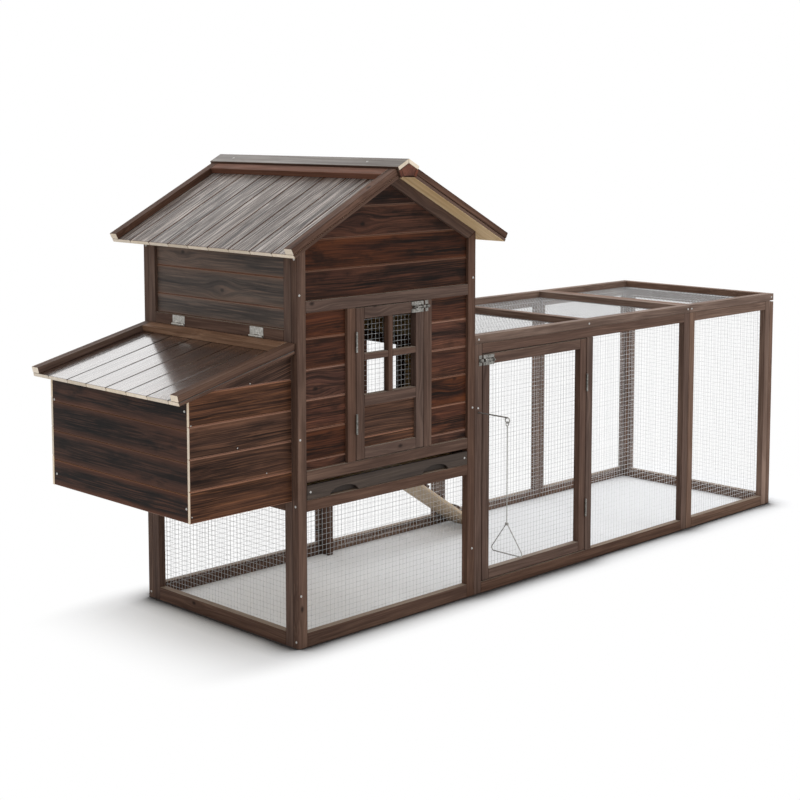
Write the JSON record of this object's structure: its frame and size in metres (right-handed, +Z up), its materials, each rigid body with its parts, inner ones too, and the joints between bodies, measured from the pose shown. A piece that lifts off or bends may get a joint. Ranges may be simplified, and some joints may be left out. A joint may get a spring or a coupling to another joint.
{
  "type": "wooden chicken coop with run",
  "caption": "Gabled wooden hen house on a meshed base with a nest box, hinged doors, a sliding pop door and a drop tray, joined to a low mesh run with flat lids.",
  "frame": {"origin": "on the ground, at the middle of the coop's bounding box seen from above", "axes": "+X along the coop from the nest box to the far end of the run, +Y from the door side to the back, +Z up"},
  "size_m": [3.0346, 1.0374, 1.4708],
  "materials": {
    "stained_frame": "brown stain, low sheen",
    "dark_boards": "dark red-brown scorched stain with open grain",
    "roof_boards": "grey-brown stain with a satin sheen",
    "bare_wood": "bare planed softwood",
    "zinc_wire": "galvanised welded wire",
    "zinc_hardware": "zinc plated, mottled",
    "steel_wire": "plain drawn steel"
  },
  "bodies": {
    "coop": {"front_frame": "stained_frame", "left_frame": "stained_frame", "back_frame": "stained_frame", "right_frame": "stained_frame", "run_front_near_frame": "stained_frame", "run_front_far_frame": "stained_frame", "run_back_frame": "stained_frame", "run_end_frame": "stained_frame", "run_lid_near_frame": "stained_frame", "run_lid_far_frame": "stained_frame", "pop_door_guides": "stained_frame", "tray_runners": "stained_frame", "perches": "stained_frame", "ridge_beam": "stained_frame", "roof_battens": "stained_frame", "front_cladding": "dark_boards", "left_cladding": "dark_boards", "back_cladding": "dark_boards", "right_cladding": "dark_boards", "nest_box_sides": "dark_boards", "nest_box_front": "dark_boards", "roof_left_boards": "roof_boards", "roof_right_boards": "roof_boards", "ridge_cap": "roof_boards", "nest_box_floor": "bare_wood", "nest_box_divider": "bare_wood", "ramp_board": "bare_wood", "ramp_rungs": "bare_wood", "front_lower_mesh": "zinc_wire", "left_lower_mesh": "zinc_wire", "back_lower_mesh": "zinc_wire", "run_front_near_mesh": "zinc_wire", "run_front_far_mesh": "zinc_wire", "run_back_mesh": "zinc_wire", "run_end_mesh": "zinc_wire", "run_lid_near_mesh": "zinc_wire", "run_lid_far_mesh": "zinc_wire", "hinge_fixed_leaves": "zinc_hardware", "bolt_keepers": "zinc_hardware"},
    "house_door": {"house_door_frame": "stained_frame", "house_door_panel": "dark_boards", "house_door_mesh": "zinc_wire", "house_door_hinge_leaves": "zinc_hardware", "house_door_bolt_plate": "zinc_hardware"},
    "house_door_bolt": {"house_door_bolt": "zinc_hardware"},
    "run_door": {"run_door_frame": "stained_frame", "run_door_mesh": "zinc_wire", "run_door_hinge_leaves": "zinc_hardware", "run_door_bolt_plate": "zinc_hardware"},
    "run_door_bolt": {"run_door_bolt": "zinc_hardware"},
    "nest_lid": {"nest_lid_boards": "roof_boards", "nest_lid_battens": "stained_frame", "nest_lid_hinge_leaves": "zinc_hardware"},
    "drop_tray": {"tray_front": "dark_boards", "tray_floor": "bare_wood", "tray_rims": "stained_frame"},
    "pop_door": {"pop_door_panel": "dark_boards", "pull_rod": "steel_wire"},
    "pull_handle": {"pull_handle": "steel_wire"}
  },
  "joints": [
    {"name": "house_door_hinge", "type": "hinge", "parent": "coop", "child": "house_door", "pos_m": [-0.84374, -0.32812, 0.78], "axis": [0, 0, -1], "range_deg": [0, 120]},
    {"name": "house_door_bolt_slide", "type": "slide", "parent": "house_door", "child": "house_door_bolt", "axis": [1, 0, 0], "range_m": [0, 0.024]},
    {"name": "run_door_hinge", "type": "hinge", "parent": "coop", "child": "run_door", "pos_m": [0.28876, -0.32812, 0.42], "axis": [0, 0, 1], "range_deg": [0, 120]},
    {"name": "run_door_bolt_slide", "type": "slide", "parent": "run_door", "child": "run_door_bolt", "axis": [-1, 0, 0], "range_m": [0, 0.024]},
    {"name": "nest_lid_hinge", "type": "hinge", "parent": "coop", "child": "nest_lid", "pos_m": [-1.08654, 0.05568, 0.9362], "axis": [0, 1, 0], "range_deg": [0, 80]},
    {"name": "drop_tray_slide", "type": "slide", "parent": "coop", "child": "drop_tray", "axis": [0, -1, 0], "range_m": [0, 0.65]},
    {"name": "pop_door_slide", "type": "slide", "parent": "coop", "child": "pop_door", "axis": [0, -1, 0], "range_m": [0, 0.19]},
    {"name": "pull_handle_swing", "type": "hinge", "parent": "pop_door", "child": "pull_handle", "pos_m": [-0.28374, -0.45132, 0.61], "axis": [-1, 0, 0], "range_deg": [-5, 85]}
  ]
}
